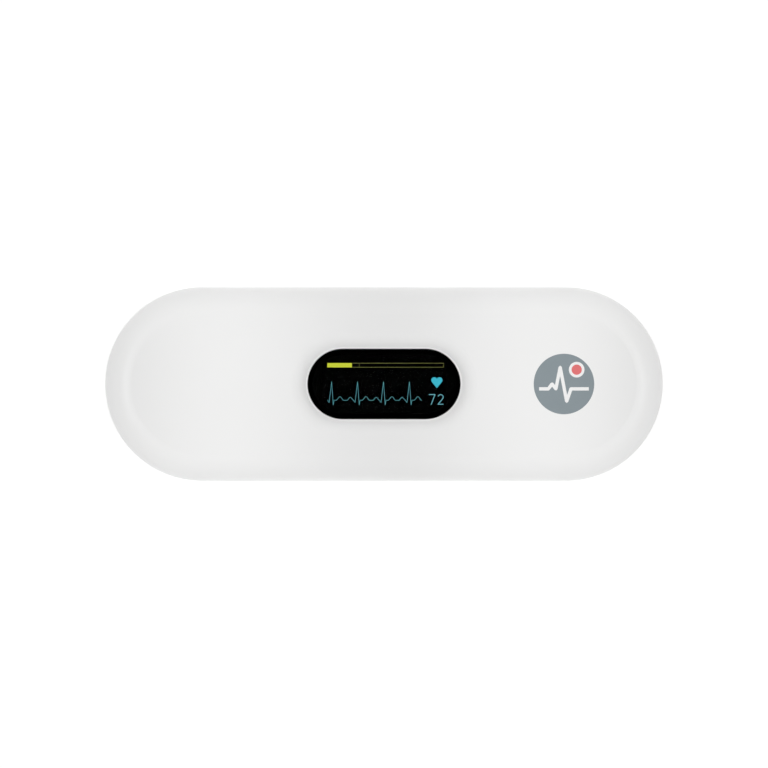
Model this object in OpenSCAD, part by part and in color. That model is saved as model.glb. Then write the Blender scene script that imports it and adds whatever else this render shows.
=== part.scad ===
// Handheld home ECG monitor: a pill-shaped white casing with a dished display
// window on top, a sprung power key on one long side, a charging socket on the
// other, and two steel finger electrodes underneath.
// X runs along the casing, +Y is the top edge of the picture on the display, and
// z = 0 is the plane that the electrodes rest on. The origin is below the centre.

/* [Casing] */
// Length of the casing, end to end
body_len = 103.5; // [98:0.5:125]
// Width of the casing, which is also the diameter of its round ends
body_w = 36; // [35:0.5:42]
// Height of the casing without the electrodes
casing_h = 14; // [13.4:0.1:17]
// Wall thickness of both shells
wall = 1.6; // [1.3:0.1:2]
// Edge radius round the top face
top_edge_r = 5; // [3.5:0.1:5.5]
// Edge radius round the rear face
rear_edge_r = 3; // [2:0.1:3.5]
// Height of the rear cover, from its rear face to the parting line
rear_h = 5.6; // [5.2:0.1:6.4]
// Height of the lip that locates the two shells
lip_h = 0.9; // [0.6:0.1:1.4]
// Thickness of that lip
lip_t = 0.7; // [0.5:0.05:0.8]
// Width of the shadow groove along the parting line
seam_w = 0.5; // [0.3:0.05:0.6]
// Depth of the shadow groove
seam_d = 0.25; // [0.15:0.05:0.5]
// Clearance between parts that slide into each other without play
fit_gap = 0.1; // [0.05:0.01:0.15]

/* [Display window] */
// Length of the window
window_len = 28.3; // [26:0.1:34]
// Width of the window, which is also the diameter of its round ends
window_w = 13; // [12:0.1:14]
// Thickness of the window
window_t = 1.1; // [0.8:0.1:1.3]
// Chamfer on the window's upper edge
window_chamfer = 0.15; // [0.05:0.05:0.3]
// Gap between the window and the casing round it
window_gap = 0.06; // [0.03:0.01:0.15]
// Flat land round the window, at the bottom of the dish
land_w = 0.3; // [0.2:0.05:1]
// Width of the slope that falls from the top face to the land
dish_w = 2.8; // [2.5:0.1:4.5]
// Depth of the dish
dish_depth = 1.4; // [0.8:0.05:1.6]
// Width of the ledge that carries the window
ledge_w = 0.9; // [0.7:0.05:1.2]
// Thickness of that ledge
ledge_t = 0.8; // [0.6:0.05:1]
// Thickness of the adhesive tape between the ledge and the window
window_tape_t = 0.15; // [0.1:0.05:0.25]

/* [Display] */
// Length of the display's glass
panel_len = 24.74; // [24:0.01:27]
// Width of the display's glass
panel_w = 16.9; // [16:0.1:17.5]
// Thickness of each of the two sheets of glass
glass_t = 0.7; // [0.5:0.05:0.8]
// Strip of the lower sheet that stays bare for the driver and the flex
panel_shelf = 3.2; // [2.8:0.1:4]
// Thickness of the polariser
polariser_t = 0.15; // [0.1:0.05:0.25]
// Margin between the polariser and the edge of the upper sheet
polariser_margin = 0.6; // [0.3:0.1:1]
// Thickness of the foam pad between the display and the board
pad_t = 0.8; // [0.6:0.05:1.2]
// Width of the flex
flex_w = 12; // [8:0.5:14]
// Thickness of the flex
flex_t = 0.12; // [0.1:0.01:0.2]
// Length of flex that is bonded to the glass
flex_bond = 1.2; // [0.8:0.1:1.6]

/* [Circuit board] */
// Space between the board's ends and the casing's ends
board_end_gap = 20.75; // [19.5:0.25:22]
// Thickness of the board
board_t = 1; // [0.8:0.1:1.2]
// Space between the board's long edges and the casing's inside
board_gap = 2.4; // [2.2:0.1:2.8]
// Distance of the board screws from the board's edges
board_screw_inset = 3; // [2.6:0.1:3.6]
// Radius of the board screws' shank
board_screw_r = 0.7; // [0.6:0.05:0.9]
// Length of the board screws under their heads
board_screw_len = 3.6; // [3:0.1:4]

/* [Power key] */
// Length of the key's cap
key_len = 11; // [9:0.5:13]
// Height of the key's cap
key_h = 4; // [3:0.1:4.4]
// How far the cap's face lies inside the casing's side
key_sunk = 0.15; // [0.05:0.05:0.3]
// Travel of the key
key_travel = 0.4; // [0.25:0.05:0.5]
// Width of the flange that keeps the key in the casing
key_flange = 0.7; // [0.5:0.05:0.9]
// Thickness of that flange
key_flange_t = 0.8; // [0.6:0.05:1]
// Clearance between the cap and its hole
key_gap = 0.15; // [0.1:0.01:0.2]
// Edge radius round the cap's face
key_edge_r = 0.5; // [0.3:0.05:0.7]
// Length of the switch behind the key
switch_len = 6; // [4.5:0.1:7]
// Depth of the switch, from its front face inwards
switch_depth = 3.2; // [2.8:0.1:3.6]
// Height of the switch
switch_h = 3; // [2.6:0.1:3.2]
// Radius of the switch's plunger
plunger_r = 0.95; // [0.8:0.05:1.1]
// How far the plunger stands out of the switch
plunger_out = 0.7; // [0.6:0.05:1]

/* [Charging socket] */
// Width of the socket's mouth, over its metal shell
socket_w = 8.94; // [8.94:0.01:9.2]
// Height of the socket's mouth, over its metal shell
socket_h = 3.16; // [3.16:0.01:3.3]
// Depth of the socket
socket_depth = 7.3; // [6.8:0.1:8]
// Thickness of the socket's metal shell
socket_shell_t = 0.3; // [0.2:0.05:0.35]
// How far the mouth lies inside the casing's side
socket_inset = 0.4; // [0.2:0.1:0.8]
// Clearance between the socket and its hole
socket_gap = 0.15; // [0.1:0.01:0.2]

/* [Battery] */
// Space between the cell and the charging socket
battery_side_gap = 1.3; // [1:0.1:2.5]
// Space between the cell's plug and the contact spring beside it
battery_end_gap = 2.2; // [1:0.1:4]
// Thickness of the cell
battery_t = 4; // [3:0.1:4.5]
// Thickness of the tape under the cell
battery_tape_t = 0.2; // [0.1:0.05:0.3]
// Height of the ribs round the cell
rib_h = 2; // [1.5:0.1:2.2]
// Thickness of those ribs
rib_t = 0.8; // [0.6:0.05:1.2]
// Clearance between the cell and its ribs
battery_gap = 0.3; // [0.2:0.05:0.5]
// Radius of the cell's leads over their insulation
lead_r = 0.45; // [0.35:0.05:0.6]

/* [Electrodes] */
// Length of each electrode
electrode_len = 26; // [23:0.5:30]
// Width of each electrode, which is also the diameter of its round ends
electrode_w = 20; // [17:0.5:20.4]
// Thickness of each electrode
electrode_t = 0.8; // [0.6:0.05:1]
// How far the electrodes stand out of the rear face
electrode_proud = 0.4; // [0.2:0.05:0.5]
// Edge radius round the electrodes' faces
electrode_edge_r = 0.3; // [0.15:0.05:0.35]
// Radius of the studs behind each electrode
stud_r = 1; // [0.8:0.05:1.2]
// How far the studs reach above the washers that hold them
stud_tip = 1; // [0.7:0.1:1.5]
// Outer radius of those washers
washer_r = 2.3; // [2:0.1:2.6]
// Thickness of those washers
washer_t = 0.4; // [0.3:0.05:0.6]
// Thickness of the contact springs' strip
contact_t = 0.2; // [0.15:0.05:0.3]
// Width of the contact springs
contact_w = 2.5; // [2:0.1:3]

/* [Case screws] */
// Distance of the case screws from the casing's ends
case_screw_end = 13.75; // [13.5:0.05:14.5]
// Distance of the case screws from the casing's long sides
case_screw_side = 6; // [5.8:0.05:6.1]
// Radius of the case screws' shank
case_screw_r = 1; // [0.8:0.05:1.1]
// Radius of their heads
case_head_r = 1.8; // [1.6:0.05:1.85]
// Height of their heads
case_head_h = 1.3; // [1:0.1:1.4]
// How deep the heads lie below the rear face
case_head_sunk = 0.9; // [0.5:0.1:1.2]
// Length of the case screws under their heads
case_screw_len = 6; // [5.5:0.1:7]

/* [Hidden] */

$fn = 96;
// How far a cutter runs past the face it opens, and how deep a rib roots in a wall
over = 1;
root = 0.3;

// Outline of the casing
half_w = body_w / 2;
body_run = body_len - body_w;
end_x = body_run / 2;

// Heights, from the rear face upwards
rear_z = electrode_proud;
floor_z = rear_z + wall;
split_z = rear_z + rear_h;
top_z = rear_z + casing_h;
ceiling_z = top_z - wall;

// Heights, from the window downwards
land_z = top_z - dish_depth;
window_z = land_z - window_t;
ledge_z = window_z - window_tape_t;
ledge_under_z = ledge_z - ledge_t;
panel_top_z = ledge_under_z - fit_gap;
upper_glass_z = panel_top_z - polariser_t - glass_t;
lower_glass_z = upper_glass_z - glass_t;
board_top_z = lower_glass_z - pad_t;
board_z = board_top_z - board_t;

// The display's picture lies under the window, so the bare shelf hangs off to -Y
panel_y = -panel_shelf / 2;
upper_glass_w = panel_w - panel_shelf;
shelf_y = -upper_glass_w / 2 - panel_shelf / 2;
pad_inset = 1.5;

// Window and dish
window_r = window_w / 2;
window_run = window_len - window_w;
land_r = window_r + land_w;
dish_r = land_r + dish_w;
// Radius of the arc that leaves the top face level and meets the land
dish_arc_r = (pow(dish_w, 2) + pow(dish_depth, 2)) / (2 * dish_depth);
ledge_r = window_r - ledge_w;
tape_r = window_r - fit_gap;
// Wider part of the ring below the land, which keeps the wall's thickness
seat_r = window_r + wall;

// Board
board_len = body_len - 2 * board_end_gap;
board_w = body_w - 2 * (wall + board_gap);
board_corner_r = 2;
board_screw_x = board_len / 2 - board_screw_inset;
board_screw_y = board_w / 2 - board_screw_inset;
board_head_r = 2 * board_screw_r;
board_head_h = board_screw_r;
post_wall = 1;
post_r = board_screw_r + post_wall;

// Chips on the board's top face: size, then centre, set in from the board's ends
board_end = board_len / 2;
processor_size = [7, 7, 0.9];
processor_at = [board_end - 10, 1.5];
amplifier_size = [5, 5, 0.8];
amplifier_at = [-board_end + 11, 2];
memory_size = [5, 4, 1.2];
memory_at = [board_end - 10, -7];
charger_size = [3, 3, 0.9];
charger_at = [-board_end + 13, -8];
crystal_size = [2.5, 3.2, 0.7];
crystal_at = [board_end - 4, 4];
antenna_size = [2, 5.2, 1];
antenna_inset = 0.6;
antenna_at = [board_end - antenna_inset - antenna_size[0] / 2, -3];
// Chip resistors and capacitors: size, pitch, and each row's start and count
small_size = [0.6, 1.1, 0.5];
small_pitch = 1.5;
small_rows = [
    [board_end - 13, 7.5, 5], [-board_end + 7, 7, 6],
    [-board_end + 8.5, -3.5, 4], [board_end - 6.4, -9, 2]
];
driver_size = [10, 1, 0.35];

// Power key
key_z = board_z - switch_h / 2;
key_r = key_h / 2;
key_run = key_len - key_h;
key_face_y = half_w - key_sunk;
key_flange_y = half_w - wall - fit_gap;
key_back_y = key_flange_y - key_flange_t;
switch_front_y = board_w / 2 - fit_gap;
plunger_y = switch_front_y + plunger_out;
stem_r = plunger_r;
// Length of the plunger inside the switch, and the room behind it
plunger_in = 0.9;
plunger_room = key_travel + fit_gap;

// Charging socket
socket_z = board_z - socket_h / 2;
socket_r = socket_h / 2;
socket_run = socket_w - socket_h;
mouth_y = -(half_w - socket_inset);
tongue_w = 6.7;
tongue_t = 0.7;
tongue_depth = 4.6;
tongue_inset = 1.2;
tongue_base_t = socket_depth - socket_shell_t - tongue_depth - tongue_inset;
tongue_root_y = mouth_y + tongue_inset + tongue_depth;
strip_count = 12;
strip_pitch = 0.5;
strip_size = [0.25, 3.8, 0.06];

// Display connector
connector_cheek = 1;
connector_size = [flex_w + 2 * connector_cheek, 2.4, 1];
// The flex leaves the glass level, drops in an S bend and enters the slot's middle
flex_z = upper_glass_z + flex_t / 2;
slot_z = board_top_z + connector_size[2] / 2;
flex_bend_r = (flex_z - slot_z) / 2;
flex_reach = 2 * (flex_bend_r + fit_gap);
glass_edge_y = panel_y - panel_w / 2;
connector_y = glass_edge_y - flex_reach - connector_size[1] / 2;
// Slot that takes the flex: width, depth and height
connector_slot = [flex_w + 2 * fit_gap, 1, flex_t + 2 * fit_gap];

// Electrodes
electrode_r = electrode_w / 2;
electrode_run = electrode_len - electrode_w;
electrode_x = end_x - electrode_run / 2;
stud_xs = [electrode_x - electrode_run / 2, electrode_x + electrode_run / 2];
stud_z = floor_z + washer_t + stud_tip;
contact_r = (board_z - stud_z) / 2;
// How far the spring's legs run behind and in front of the stud's axis
contact_back = 2.5;
contact_front = 1.5;

// Battery, between the charging socket and the contact springs
battery_plug_size = [4, 6, 2.4];
lead_len = 2;
battery_w = 2 * (half_w - socket_inset - socket_depth - battery_side_gap);
battery_len = 2 * (stud_xs[0] - contact_back - contact_r - battery_end_gap
    - battery_plug_size[0] - lead_len);
battery_z = floor_z + battery_tape_t;
battery_corner_r = 1;
battery_tape_margin = 2;
battery_plug_x = battery_len / 2 + lead_len + battery_plug_size[0] / 2;
lead_spacing = 2;
lead_z = board_z - battery_plug_size[2] / 2;

// Case screws
case_screw_x = body_len / 2 - case_screw_end;
case_screw_y = half_w - case_screw_side;
case_seat_z = rear_z + case_head_sunk + case_head_h;
case_bore_r = case_head_r + 2 * fit_gap;
case_boss_wall = 1;
case_boss_r = case_bore_r + case_boss_wall;
top_boss_wall = 1.3;
top_boss_r = case_screw_r + top_boss_wall;
// Half lengths of the cross recesses in the screws' heads
case_cross = 1.1;
board_cross = 0.8;

// ---- Shapes that repeat ----

// The children, a section right of the axis, carried round a pill outline whose
// straight part is run long
module pill_sweep(run) {
    for (turn = [0, 180])
        rotate([0, 0, turn]) translate([run / 2, 0, 0]) rotate([0, 0, -90])
            rotate_extrude(angle = 180) children();
    rotate([90, 0, 90]) linear_extrude(run, center = true) {
        children();
        mirror([1, 0]) children();
    }
}

// A pill-shaped plate with its upper edge square
module pill(r, run, z, h) {
    pill_sweep(run) translate([0, z]) square([r, h]);
}

// A rectangle from the axis outwards, with its outer upper corner rounded
module rounded_step(w, h, r) {
    square([w, h - r]);
    square([w - r, h]);
    translate([w - r, h - r]) intersection() {
        circle(r);
        square(r + over);
    }
}

// A rectangle with rounded corners, centred
module rounded_rect(l, w, r) {
    for (sx = [0, 1], sy = [0, 1]) mirror([sx, 0]) mirror([0, sy]) {
        square([l / 2, w / 2 - r]);
        square([l / 2 - r, w / 2]);
        translate([l / 2 - r, w / 2 - r]) intersection() {
            circle(r);
            square(r + over);
        }
    }
}

// A box that stands on z, centred in x and y
module block(size, x, y, z) {
    translate([x - size[0] / 2, y - size[1] / 2, z]) cube(size);
}

// The children at all four corners of a rectangle
module corners(x, y) {
    for (sx = [-1, 1], sy = [-1, 1]) translate([sx * x, sy * y, 0]) children();
}

// Turns a pill that stands up so that its axis points along +Y, at height z
module facing_side(z) {
    translate([0, 0, z]) rotate([-90, 0, 0]) children();
}

// A pan-head screw that points up, with its head's underside at z = 0
module screw(r, length, head_r, head_h, cross) {
    tip_h = r;
    cross_w = head_r / 3;
    cylinder(r = r, h = length - tip_h);
    translate([0, 0, length - tip_h]) cylinder(r1 = r, r2 = r / 3, h = tip_h);
    difference() {
        mirror([0, 0, 1]) rotate_extrude() rounded_step(head_r, head_h, head_h / 3);
        for (turn = [0, 90]) rotate([0, 0, turn])
            block([2 * cross, cross_w, head_h], 0, 0, -head_h - head_h / 2);
    }
}

// ---- Holes that both shells share ----

module key_hole() {
    facing_side(key_z) pill(key_r + key_gap, key_run, half_w - wall - over, wall + 2 * over);
}

module socket_hole() {
    facing_side(socket_z)
        pill(socket_r + socket_gap, socket_run, -half_w - over, wall + 2 * over);
}

// ---- Casing ----

// Wall of the top casing, from the centre line outwards
module top_section() {
    h = top_z - split_z;
    difference() {
        translate([0, split_z]) rounded_step(half_w, h, top_edge_r);
        translate([0, split_z - over])
            rounded_step(half_w - wall, h - wall + over, top_edge_r - wall);
        translate([0, split_z - over])
            square([half_w - wall + lip_t + fit_gap, lip_h + fit_gap + over]);
    }
}

// Ring round the window: the dish's slope, the land, the pocket and the ledge
module window_ring_section() {
    difference() {
        translate([ledge_r, ledge_under_z]) square([dish_r - ledge_r, top_z - ledge_under_z]);
        translate([seat_r, ledge_under_z - over])
            square([dish_r, land_z - wall - ledge_under_z + over]);
        translate([0, ledge_z]) square([window_r + window_gap, top_z]);
        difference() {
            translate([0, land_z]) square([dish_r + over, dish_depth + over]);
            translate([dish_r, top_z - dish_arc_r]) circle(dish_arc_r);
            translate([dish_r, 0]) square([2 * over, top_z]);
        }
    }
}

module top_casing() {
    color("#f4f4f3") difference() {
        union() {
            difference() {
                pill_sweep(body_run) top_section();
                pill(dish_r, window_run, ceiling_z - over, wall + 2 * over);
            }
            pill_sweep(window_run) window_ring_section();
            corners(case_screw_x, case_screw_y)
                translate([0, 0, split_z]) cylinder(r = top_boss_r, h = ceiling_z - split_z + root);
            corners(board_screw_x, board_screw_y)
                translate([0, 0, board_top_z])
                    cylinder(r = post_r, h = ceiling_z - board_top_z + root);
        }
        corners(case_screw_x, case_screw_y)
            translate([0, 0, split_z - over])
                cylinder(r = case_screw_r, h = case_seat_z + case_screw_len - split_z + over);
        corners(board_screw_x, board_screw_y)
            translate([0, 0, board_top_z - over])
                cylinder(r = board_screw_r, h = board_screw_len - board_t + over);
        key_hole();
        socket_hole();
    }
}

// Wall of the rear cover with its lip and shadow groove
module rear_section() {
    difference() {
        translate([0, split_z]) mirror([0, 1]) rounded_step(half_w, rear_h, rear_edge_r);
        translate([0, split_z + over]) mirror([0, 1])
            rounded_step(half_w - wall, rear_h - wall + over, rear_edge_r - wall);
        translate([half_w - seam_w, split_z - seam_d]) square([seam_w + over, seam_d + over]);
    }
    translate([half_w - wall, split_z - root]) square([lip_t, lip_h + root]);
}

module battery_ribs() {
    inside = [battery_len + 2 * battery_gap, battery_w + 2 * battery_gap];
    difference() {
        block([inside[0] + 2 * rib_t, inside[1] + 2 * rib_t, rib_h + root], 0, 0, floor_z - root);
        block([inside[0], inside[1], rib_h + root + over], 0, 0, floor_z - root);
    }
}

module rear_cover() {
    color("#f1f1f0") difference() {
        union() {
            pill_sweep(body_run) rear_section();
            battery_ribs();
            corners(case_screw_x, case_screw_y)
                translate([0, 0, floor_z - root])
                    cylinder(r = case_boss_r, h = split_z - floor_z + root);
        }
        corners(case_screw_x, case_screw_y) {
            translate([0, 0, rear_z - over]) cylinder(r = case_bore_r, h = case_seat_z - rear_z + over);
            translate([0, 0, rear_z]) cylinder(r = case_screw_r + fit_gap, h = rear_h + over);
        }
        for (side = [0, 1]) mirror([side, 0, 0]) {
            translate([electrode_x, 0, 0])
                pill(electrode_r + fit_gap, electrode_run, rear_z - over,
                     electrode_t - electrode_proud + over);
            for (x = stud_xs) translate([x, 0, rear_z]) cylinder(r = stud_r + fit_gap, h = wall + over);
        }
        key_hole();
        socket_hole();
    }
}

// ---- Window and display ----

module display_window() {
    color("#0b0c0e") pill_sweep(window_run) polygon([
        [0, window_z], [window_r, window_z], [window_r, land_z - window_chamfer],
        [window_r - window_chamfer, land_z], [0, land_z]
    ]);
}

module window_tape() {
    color("#1a1a1a") pill_sweep(window_run)
        translate([ledge_r, ledge_z]) square([tape_r - ledge_r, window_tape_t]);
}

module display_panel() {
    color("#20262b") {
        block([panel_len, panel_w, glass_t], 0, panel_y, lower_glass_z);
        block([panel_len, upper_glass_w, glass_t], 0, 0, upper_glass_z);
    }
}

module display_polariser() {
    color("#101418") block([
        panel_len - 2 * polariser_margin, upper_glass_w - 2 * polariser_margin, polariser_t
    ], 0, 0, upper_glass_z + glass_t);
}

module display_driver() {
    color("#2b2b2d") block(driver_size, 0, shelf_y + flex_bond / 2, upper_glass_z);
}

// A quarter of a ring, from +X round to +Y
module quarter_ring(r, t) {
    intersection() {
        difference() {
            circle(r + t / 2);
            circle(r - t / 2);
        }
        square(r + t);
    }
}

// Side view of the flex: off the glass, down an S bend and into the connector
module flex_profile() {
    slot_y = connector_y + connector_size[1] / 2 - connector_slot[1];
    bend_y = glass_edge_y - fit_gap;
    foot_y = bend_y - 2 * flex_bend_r;
    translate([bend_y, flex_z - flex_t / 2]) square([glass_edge_y + flex_bond - bend_y, flex_t]);
    translate([bend_y, flex_z - flex_bend_r]) mirror([1, 0]) quarter_ring(flex_bend_r, flex_t);
    translate([foot_y, flex_z - flex_bend_r]) mirror([0, 1]) quarter_ring(flex_bend_r, flex_t);
    translate([slot_y, slot_z - flex_t / 2]) square([foot_y - slot_y, flex_t]);
}

module display_flex() {
    color("#b5651d") rotate([90, 0, 90]) linear_extrude(flex_w, center = true) flex_profile();
}

module display_connector() {
    color("#e9e4d8") difference() {
        block(connector_size, 0, connector_y, board_top_z);
        block([connector_slot[0], 2 * connector_slot[1], connector_slot[2]], 0,
              connector_y + connector_size[1] / 2,
              board_top_z + (connector_size[2] - connector_slot[2]) / 2);
    }
}

module display_pad() {
    color("#2f2f2f") block([panel_len - 2 * pad_inset, upper_glass_w, pad_t], 0, 0, board_top_z);
}

// ---- Board and what is soldered to it ----

module circuit_board() {
    color("#1f5f3a") difference() {
        translate([0, 0, board_z]) linear_extrude(board_t) rounded_rect(board_len, board_w, board_corner_r);
        corners(board_screw_x, board_screw_y)
            translate([0, 0, board_z - over]) cylinder(r = board_screw_r + fit_gap, h = board_t + 2 * over);
    }
}

module soldered(size, at) {
    block(size, at[0], at[1], board_top_z);
}

module processor() {
    color("#1c1c1e") soldered(processor_size, processor_at);
}

module signal_amplifier() {
    color("#1c1c1e") soldered(amplifier_size, amplifier_at);
}

module memory_chip() {
    color("#1c1c1e") soldered(memory_size, memory_at);
}

module charger_chip() {
    color("#1c1c1e") soldered(charger_size, charger_at);
}

module radio_antenna() {
    color("#dfe3e6") soldered(antenna_size, antenna_at);
}

module crystal() {
    color("#c9ccd0") soldered(crystal_size, crystal_at);
}

// Rows of chip resistors and capacitors beside the chips: x, y and count of each row
module small_parts() {
    color("#b9a77c") for (row = small_rows, i = [0 : row[2] - 1])
        soldered(small_size, [row[0] + i * small_pitch, row[1]]);
}

module charging_socket() {
    color("#c4c8cc") facing_side(socket_z) difference() {
        pill(socket_r, socket_run, mouth_y, socket_depth);
        pill(socket_r - socket_shell_t, socket_run, mouth_y - over, socket_depth - socket_shell_t + over);
    }
}

// Plastic tongue that stands in the mouth, on the block that fills the back
module socket_tongue() {
    color("#1d1d1f") {
        facing_side(socket_z)
            pill(socket_r - socket_shell_t, socket_run, tongue_root_y, tongue_base_t);
        block([tongue_w, tongue_depth + root, tongue_t], 0,
              tongue_root_y + (root - tongue_depth) / 2, socket_z - tongue_t / 2);
    }
}

// Gold strips on both faces of the tongue
module socket_contacts() {
    color("#d9b452") for (i = [0 : strip_count - 1], face = [-1, 1])
        block(strip_size, (i - (strip_count - 1) / 2) * strip_pitch,
              tongue_root_y - strip_size[1] / 2,
              socket_z + face * (tongue_t + strip_size[2]) / 2 - strip_size[2] / 2);
}

// ---- Power key and its switch ----

module power_key() {
    color("#e9e9e8") {
        facing_side(key_z) {
            pill_sweep(key_run) {
                translate([0, key_back_y]) square([key_r + key_flange, key_flange_t]);
                translate([0, key_back_y]) rounded_step(key_r, key_face_y - key_back_y, key_edge_r);
            }
            translate([0, 0, plunger_y]) cylinder(r = stem_r, h = key_back_y - plunger_y);
        }
    }
}

module switch_body() {
    color("#2a2a2c") difference() {
        block([switch_len, switch_depth, switch_h], 0, switch_front_y - switch_depth / 2,
              board_z - switch_h);
        facing_side(key_z) translate([0, 0, switch_front_y - plunger_in - plunger_room])
            cylinder(r = plunger_r + fit_gap / 2, h = plunger_in + plunger_room + over);
    }
}

module switch_plunger() {
    color("#d8d2c4") facing_side(key_z) translate([0, 0, switch_front_y - plunger_in])
        cylinder(r = plunger_r, h = plunger_in + plunger_out);
}

// ---- Battery ----

module battery_cell() {
    color("#b8bcc2") translate([0, 0, battery_z]) linear_extrude(battery_t)
        rounded_rect(battery_len, battery_w, battery_corner_r);
}

module battery_tape() {
    color("#f0e9c8") block([
        battery_len - 2 * battery_tape_margin, battery_w - 2 * battery_tape_margin, battery_tape_t
    ], 0, 0, floor_z);
}

module battery_connector() {
    color("#ece7da") block(battery_plug_size, battery_plug_x, 0, board_z - battery_plug_size[2]);
}

// One lead, from the cell's end to the plug's back
module battery_lead(y) {
    translate([battery_len / 2, y, lead_z]) rotate([0, 90, 0]) cylinder(r = lead_r, h = lead_len);
}

module battery_lead_red() {
    color("#c62f2b") battery_lead(lead_spacing / 2);
}

module battery_lead_black() {
    color("#202022") battery_lead(-lead_spacing / 2);
}

// ---- Electrodes ----

module electrode() {
    translate([electrode_x, 0, electrode_t]) mirror([0, 0, 1])
        pill_sweep(electrode_run) rounded_step(electrode_r, electrode_t, electrode_edge_r);
    for (x = stud_xs)
        translate([x, 0, electrode_t - root]) cylinder(r = stud_r, h = stud_z - electrode_t + root);
}

module left_electrode() {
    color("#b9bdc1") mirror([1, 0, 0]) electrode();
}

module right_electrode() {
    color("#b9bdc1") electrode();
}

module stud_washers() {
    color("#9aa0a6") for (side = [0, 1], x = stud_xs) mirror([side, 0, 0])
        translate([x, 0, floor_z]) difference() {
            cylinder(r = washer_r, h = washer_t);
            translate([0, 0, -over]) cylinder(r = stud_r, h = washer_t + 2 * over);
        }
}

// C-shaped leaf spring between a stud and the board's underside
module contact() {
    back_x = stud_xs[0] - contact_back;
    leg = contact_back + contact_front;
    translate([0, contact_w / 2, 0]) rotate([90, 0, 0]) linear_extrude(contact_w) {
        translate([back_x, board_z - contact_t]) square([leg, contact_t]);
        translate([back_x, stud_z]) square([leg, contact_t]);
        translate([back_x, stud_z + contact_r]) mirror([1, 0]) {
            quarter_ring(contact_r - contact_t / 2, contact_t);
            mirror([0, 1]) quarter_ring(contact_r - contact_t / 2, contact_t);
        }
    }
}

module left_contact() {
    color("#d6b25e") mirror([1, 0, 0]) contact();
}

module right_contact() {
    color("#d6b25e") contact();
}

// ---- Screws ----

module case_screws() {
    color("#8f9499") corners(case_screw_x, case_screw_y)
        translate([0, 0, case_seat_z])
            screw(case_screw_r, case_screw_len, case_head_r, case_head_h, case_cross);
}

module board_screws() {
    color("#8f9499") corners(board_screw_x, board_screw_y)
        translate([0, 0, board_z])
            screw(board_screw_r, board_screw_len, board_head_r, board_head_h, board_cross);
}

top_casing();
rear_cover();
display_window();
window_tape();
display_panel();
display_polariser();
display_driver();
display_flex();
display_connector();
display_pad();
circuit_board();
processor();
signal_amplifier();
memory_chip();
charger_chip();
radio_antenna();
crystal();
small_parts();
charging_socket();
socket_tongue();
socket_contacts();
power_key();
switch_body();
switch_plunger();
battery_cell();
battery_tape();
battery_connector();
battery_lead_red();
battery_lead_black();
left_electrode();
right_electrode();
stud_washers();
left_contact();
right_contact();
case_screws();
board_screws();
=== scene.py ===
# %% [markdown]
# # A handheld home ECG monitor
# The real device is a flat pill of white moulded plastic, a little longer than a bank
# card, held between the fingers of both hands while it records the heart. Its shells,
# window, board, cell, key and electrodes were made as solids first, at their real
# size. This lesson loads those solids and gives them their finishes, and it builds in
# mesh code what is printed or lit: the mask behind the window, the displayed picture,
# the printed mark and the symbol on the key.

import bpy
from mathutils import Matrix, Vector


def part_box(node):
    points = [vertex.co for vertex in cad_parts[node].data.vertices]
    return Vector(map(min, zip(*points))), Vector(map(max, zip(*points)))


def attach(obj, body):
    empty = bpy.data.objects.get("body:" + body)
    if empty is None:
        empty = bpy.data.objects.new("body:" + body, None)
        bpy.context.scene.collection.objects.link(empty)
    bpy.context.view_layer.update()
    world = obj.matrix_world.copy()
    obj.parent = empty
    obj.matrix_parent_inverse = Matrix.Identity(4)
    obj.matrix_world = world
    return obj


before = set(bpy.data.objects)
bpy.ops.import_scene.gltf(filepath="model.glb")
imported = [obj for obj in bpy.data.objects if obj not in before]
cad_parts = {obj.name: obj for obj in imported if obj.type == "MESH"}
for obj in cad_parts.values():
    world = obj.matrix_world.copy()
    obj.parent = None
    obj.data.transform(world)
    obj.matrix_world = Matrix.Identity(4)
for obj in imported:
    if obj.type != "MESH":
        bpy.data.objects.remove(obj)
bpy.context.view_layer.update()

# %% [markdown]
# ## Units and the places to build from
# Everything here is in metres, as the solids are, but a maker thinks in millimetres,
# so sizes are written as a number times MM. The places come from the solids' own
# boxes: a piece that is put on a measured face stays on it when a size changes.

# %% Units and measured places
import math

import bpy
from mathutils import Vector
from mathutils.geometry import tessellate_polygon

MM = 0.001
casing_low, casing_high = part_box("top_casing")
window_low, window_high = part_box("display_window")
film_low, film_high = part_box("display_polariser")
key_low, key_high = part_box("power_key")
body_len = casing_high.x - casing_low.x
print("casing", round(body_len / MM, 2), "mm long, top at", round(casing_high.z / MM, 2), "mm")

# %% [markdown]
# ## The camera
# The photograph looks straight down with next to no perspective, which is what a long
# lens a good way off gives. The lens is fixed, and the distance follows from how much
# of the frame the casing fills: its outline is 557 of the picture's 768 pixels long.

# %% Camera
photo_px = 768
casing_px = 557
outline_z = 8 * MM
lens_mm = 400
sensor_mm = 36

scene = bpy.context.scene
camera = bpy.data.cameras.new("camera")
camera.lens = lens_mm
camera.sensor_width = sensor_mm
camera.clip_end = 20
field = body_len * photo_px / casing_px
distance = field * lens_mm / sensor_mm
camera_object = bpy.data.objects.new("camera", camera)
camera_object.location = (0, 0, outline_z + distance)
scene.collection.objects.link(camera_object)
scene.camera = camera_object
print("camera", round(distance, 3), "m above the outline, field", round(field / MM, 1), "mm")

# %% [markdown]
# ## Colours and nodes
# A maker names a colour by its sRGB hex code, but a shader adds up light, which needs
# linear values, so one function turns the first into the second. A second small
# function adds a shader node: its settings are the choices in the node's own menus,
# and its inputs are either plain values or the outputs of other nodes.

# %% Colour and node helpers
# Where a mix node that is set to colours gives its result
MIXED_COLOUR = 2
# The length over which a wave texture of scale 1 repeats: it turns 20 radians a unit
WAVE_LENGTH_AT_1 = 2 * math.pi / 20


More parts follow.
